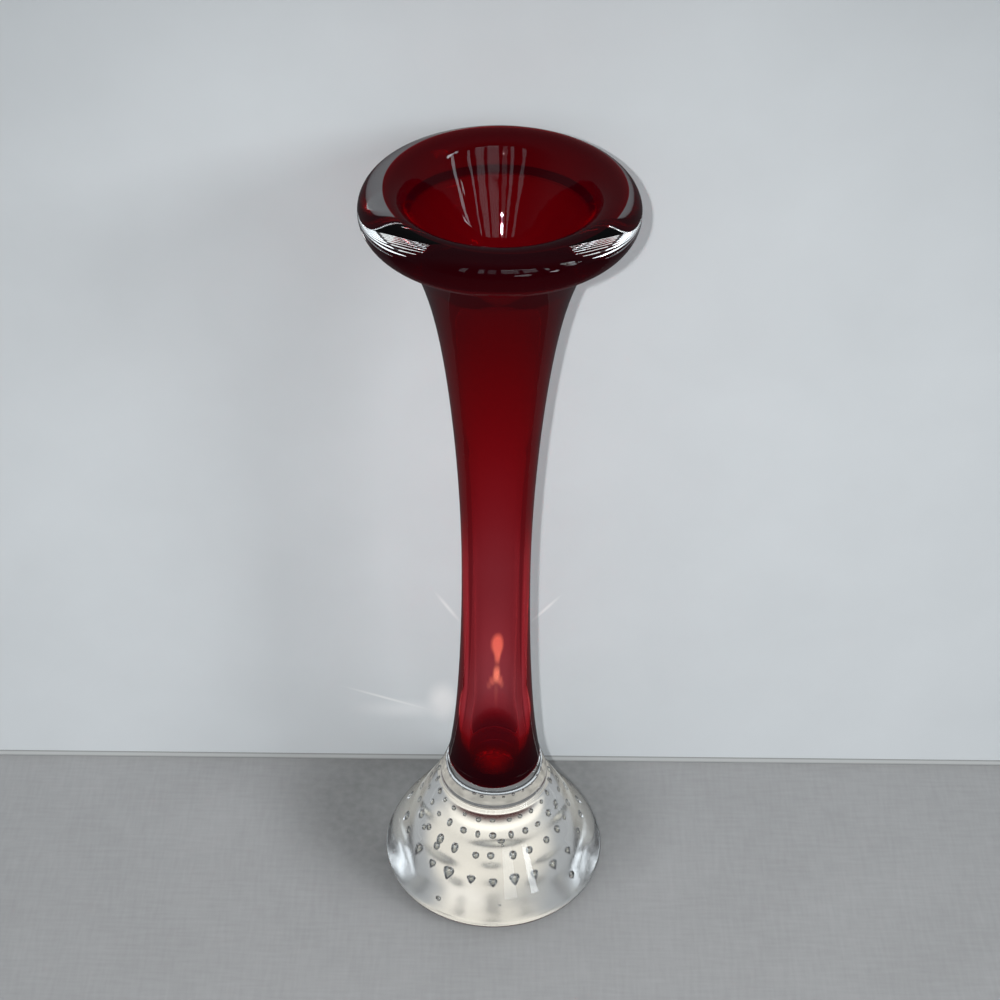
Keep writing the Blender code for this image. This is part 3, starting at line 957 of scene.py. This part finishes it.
def makeRoom():
    world = bpy.data.worlds.new("room")
    scene.world = world
    world.use_nodes = True
    tree, r = world.node_tree, room
    facing = tree.nodes.new("ShaderNodeTexCoord").outputs["Generated"]
    parts = added(tree, "ShaderNodeSeparateXYZ", facing).outputs
    seen = tree.nodes.new("ShaderNodeLightPath").outputs
    through = seen["Is Transmission Ray"]  # the panes show in reflections, the sides only through the glass
    often = maths(tree, "GREATER_THAN", seen["Glossy Depth"], r["thrownBackTimes"] - 0.5)
    forward = maths(tree, "MAXIMUM", maths(tree, "MULTIPLY", parts["Y"], -1), r["leastForward"])
    across, rise = (maths(tree, "DIVIDE", parts[axis], forward) for axis in ("X", "Z"))
    bright, edge = 0, r["paneEdge"]
    for left, right, bottom, top, strength in r["panes"]:
        mask = strength
        for slope, start, end in ((across, left, right), (rise, bottom, top)):
            mask = maths(tree, "MULTIPLY", mask, ramp(tree, slope, start - edge, start + edge))
            mask = maths(tree, "MULTIPLY", mask, ramp(tree, slope, end - edge, end + edge, 1, 0))
        bright = maths(tree, "ADD", bright, mask)
    bright = maths(tree, "MULTIPLY", bright, maths(tree, "SUBTRACT", 1, through))
    share = maths(tree, "MULTIPLY_ADD", often, 1 - r["sidesSeldom"], r["sidesSeldom"])
    share = maths(tree, "MULTIPLY", share, through)
    for centre, far, close, strength in r["sides"]:
        along = vectorMaths(tree, "DOT_PRODUCT", facing, np.array(centre) / np.linalg.norm(centre))
        bright = maths(tree, "MULTIPLY_ADD", ramp(tree, along, far, close, 0, strength), share, bright)
    lit = added(tree, "ShaderNodeVectorMath", r["daylight"], operation="SCALE")
    feed(tree, lit.inputs["Scale"], bright)
    shadow = mixed(tree, ramp(tree, parts["Y"], *r["darkens"]), r["side"], r["dark"])
    shadow = mixed(tree, through, shadow, r["inside"])
    shadow = mixed(tree, maths(tree, "MULTIPLY", through, often), shadow, r["thrownBack"])
    colour = vectorMaths(tree, "ADD", lit.outputs[0], shadow)
    colour = mixed(tree, seen["Is Diffuse Ray"], colour, r["ambient"])
    colour = mixed(tree, seen["Is Camera Ray"], colour, r["pale"])
    feed(tree, tree.nodes["Background"].inputs["Color"], colour)
    print("room:", len(r["panes"]), "panes and", len(r["sides"]), "side lights")


makeRoom()


# Lamps

lamps = {
    "flash": {"at": (-0.026, -0.394, 0.442), "towards": (0, -0.02, 0), "watts": 5.0, "radius": 0.004,
              "spread": 66},
    "window": {"at": (1.5, -0.9, 0.9), "towards": (0, 0, 0.1), "watts": 9, "size": (0.5, 0.6)},
}


def makeLamp(name, kind):
    setup = lamps[name]
    lamp = placed(name, bpy.data.lights.new(name, kind))
    lamp.data.energy = setup["watts"]
    lamp.location = setup["at"]
    direction = np.array(setup["towards"]) - np.array(setup["at"])
    yaw = math.atan2(direction[1], direction[0])
    pitch = math.atan2(math.hypot(direction[0], direction[1]), -direction[2])
    lamp.rotation_euler = (pitch, 0, yaw - math.pi / 2)
    return lamp


flash = makeLamp("flash", "SPOT")
flash.data.shadow_soft_size = lamps["flash"]["radius"]
flash.data.spot_size = math.radians(lamps["flash"]["spread"])
flash.data.spot_blend = 1
window = makeLamp("window", "AREA")
window.data.shape = "RECTANGLE"
window.data.size, window.data.size_y = lamps["window"]["size"]
window.visible_glossy = False  # the room's panes stand for it in the reflections


# Camera

view = {
    "at": (0, -0.3939, 0.4420),
    "pitch": 38.9,
    "roll": 0.6,
    "lens": 76.32,
    "shift": (0.0032, 0),
    "nearest": 0.01,
}
camera = placed("camera", bpy.data.cameras.new("camera"))
camera.data.lens = view["lens"]
camera.data.shift_x, camera.data.shift_y = view["shift"]
camera.data.clip_start = view["nearest"]
camera.location = view["at"]
camera.rotation_euler = (math.radians(90 - view["pitch"]), 0, 0)
camera.rotation_euler.rotate_axis("Z", math.radians(view["roll"]))
scene.camera = camera
print("lamps and camera are in place")

scene.view_settings.view_transform = "Standard"
scene.cycles.max_bounces = 32
scene.cycles.transmission_bounces = 32
scene.cycles.glossy_bounces = 10
scene.cycles.transparent_max_bounces = 16
